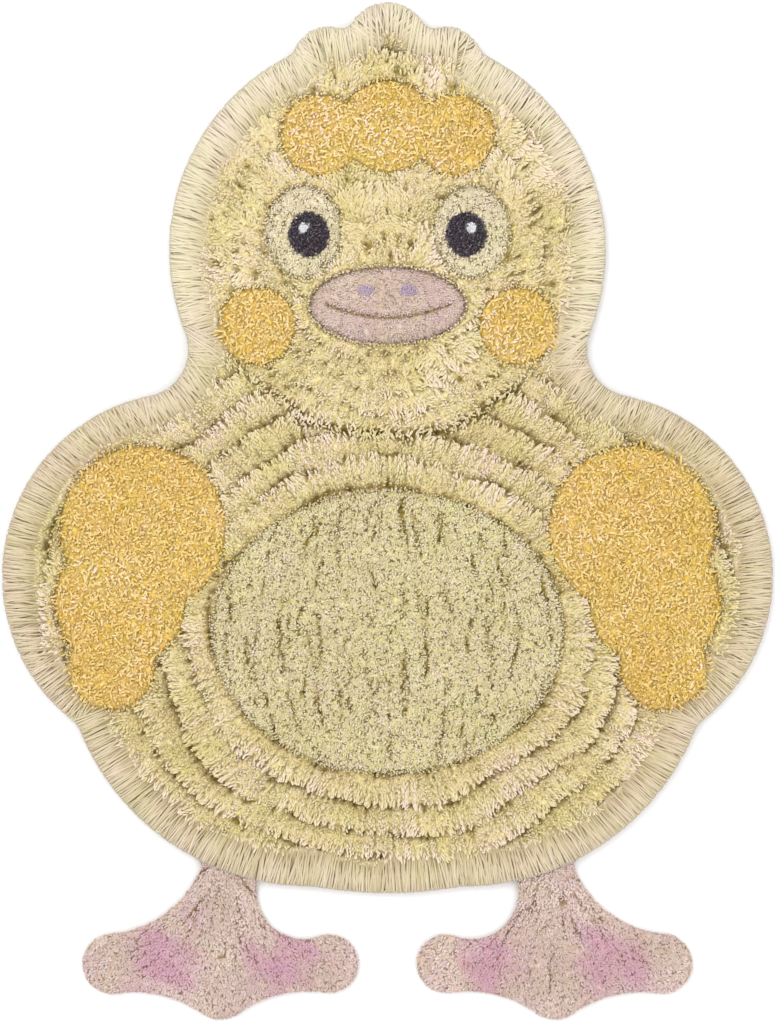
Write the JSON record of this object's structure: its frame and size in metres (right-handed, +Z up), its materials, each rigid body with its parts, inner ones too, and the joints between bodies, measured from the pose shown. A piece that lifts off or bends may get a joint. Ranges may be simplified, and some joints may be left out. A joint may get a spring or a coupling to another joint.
{
  "type": "duckling-shaped tufted shag rug",
  "caption": "Flat hand-tufted cotton shag rug cut in the shape of a plain front-view duckling, with patches of shorter pile and sheared webbed feet.",
  "frame": {"origin": "middle of the rug's footprint, on the floor under its canvas underside", "axes": "+X to the rug's right seen from above, +Y from the toes to the crown, +Z up through the pile"},
  "size_m": [0.9, 1.19, 0.026],
  "materials": {
    "rug_pile": "matte",
    "border_yarn": "matte",
    "belly_yarn": "matte",
    "golden_yarn": "matte",
    "cream_yarn": "matte",
    "pink_yarn": "matte",
    "lilac_yarn": "matte",
    "charcoal_yarn": "matte",
    "white_yarn": "matte",
    "canvas": "matte"
  },
  "bodies": {
    "root": {"rug": "rug_pile"}
  },
  "joints": []
}
